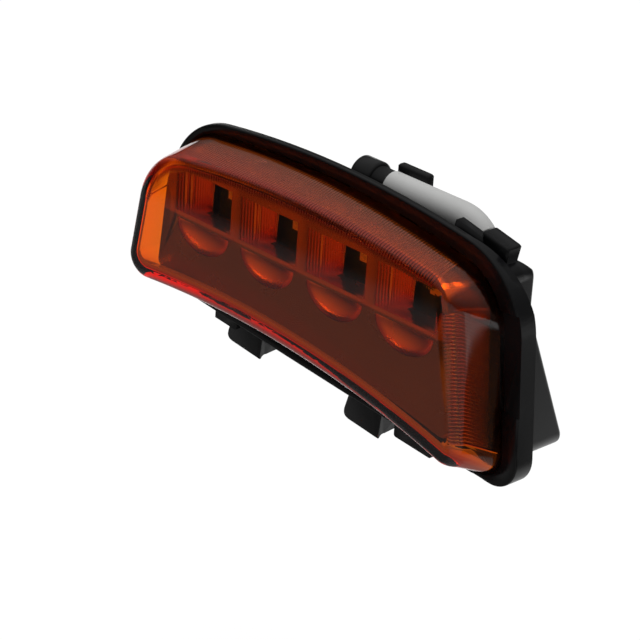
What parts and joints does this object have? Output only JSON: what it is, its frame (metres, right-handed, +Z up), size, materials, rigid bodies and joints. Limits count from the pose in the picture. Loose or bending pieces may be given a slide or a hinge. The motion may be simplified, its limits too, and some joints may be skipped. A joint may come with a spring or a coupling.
{
  "type": "side repeater lamp",
  "caption": "Snap-in side repeater lamp for a vehicle panel: tapered amber lens over a fluted reflector, in a black housing with catches and a captive lead.",
  "frame": {"origin": "on the face of the panel, midway between the bottom corners of the flange and level with the middle of the LED row", "axes": "+X along the lamp towards its deeper-skirted end, +Y back into the vehicle through the cut-out, +Z up"},
  "size_m": [0.1407, 0.0495, 0.0742],
  "materials": {
    "amber_lens": "clear amber moulding, polished",
    "metallised_plastic": "vacuum metallised plastic",
    "black_housing": "satin moulded",
    "circuit_board": "solder mask",
    "led_package": "moulded package with clear dome",
    "component_black": "moulded",
    "component_grey": "sintered",
    "capacitor_can": "drawn can",
    "white_header": "moulded",
    "screw_steel": "zinc plated",
    "lead_sheath": "extruded sheath",
    "white_label": "bare wrap-round film",
    "core_brown": "extruded insulation",
    "core_black": "extruded insulation",
    "black_rubber": "moulded",
    "connector_black": "moulded",
    "contact_brass": "tin-flashed brass",
    "seal_rubber": "silicone",
    "breather_plastic": "moulded"
  },
  "bodies": {
    "root": {"outer_lens": "amber_lens", "reflector": "metallised_plastic", "rear_housing": "black_housing", "led_board": "circuit_board", "led_1": "led_package", "led_2": "led_package", "led_3": "led_package", "led_4": "led_package", "driver_chip": "component_black", "choke": "component_grey", "reverse_diode": "component_black", "capacitor_1": "capacitor_can", "capacitor_2": "capacitor_can", "resistor_1": "component_black", "resistor_2": "component_black", "resistor_3": "component_black", "wire_header": "white_header", "board_screws": "screw_steel", "lead_sheath": "lead_sheath", "lead_label": "white_label", "lead_core_a": "core_brown", "lead_core_b": "core_black", "lead_grommet": "black_rubber", "connector_body": "connector_black", "connector_pin_a": "contact_brass", "connector_pin_b": "contact_brass", "connector_seal": "seal_rubber", "breather_plug": "breather_plastic"}
  },
  "joints": []
}
